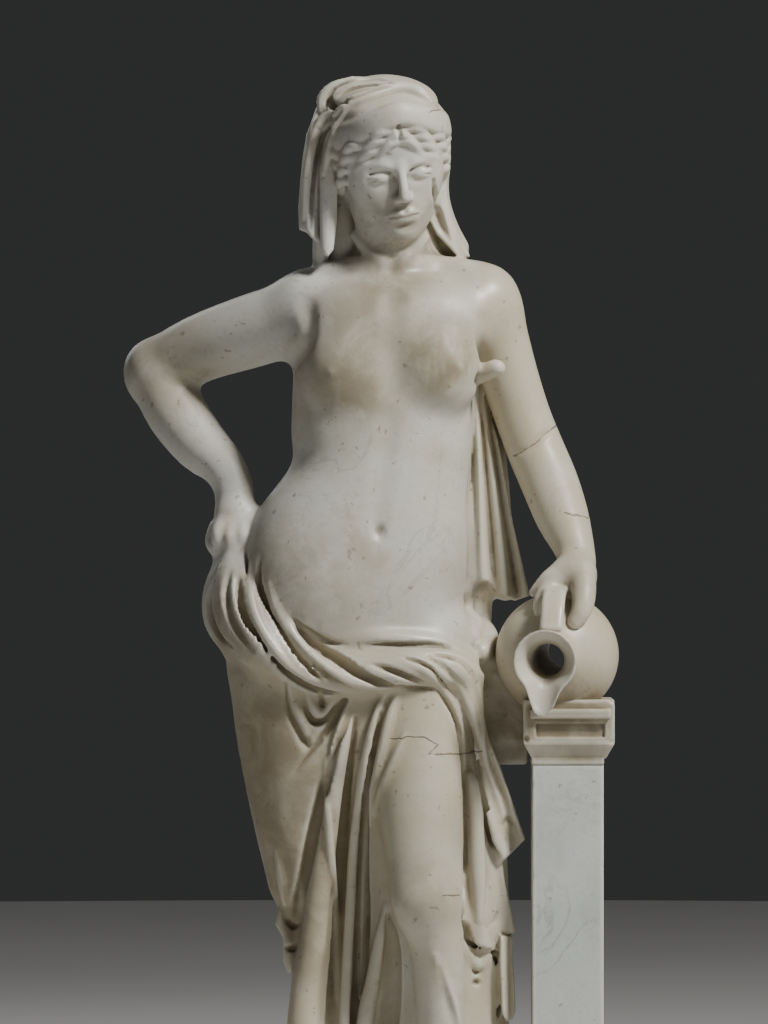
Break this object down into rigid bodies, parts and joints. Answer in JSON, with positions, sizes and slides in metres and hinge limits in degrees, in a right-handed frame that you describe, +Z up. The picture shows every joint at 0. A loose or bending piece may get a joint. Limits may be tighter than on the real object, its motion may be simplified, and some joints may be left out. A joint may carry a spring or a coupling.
{
  "type": "draped marble statue",
  "caption": "Life-size marble figure of a veiled woman with a cloak round the hips, resting a pouring jug on a pillar, on a low rectangular base.",
  "frame": {"origin": "centre of the underside of the low rectangular base", "axes": "+Z up; -Y is the front, the side the statue faces; +X is to the right of someone looking at its front"},
  "size_m": [0.7632, 0.39, 1.7621],
  "materials": {
    "warm_marble": "aged cream marble, part polished, brown dirt in the hollows",
    "cool_marble": "plain grey-white marble, chipped edges"
  },
  "bodies": {
    "root": {"figure": "warm_marble", "pillar_shaft": "cool_marble"}
  },
  "joints": []
}
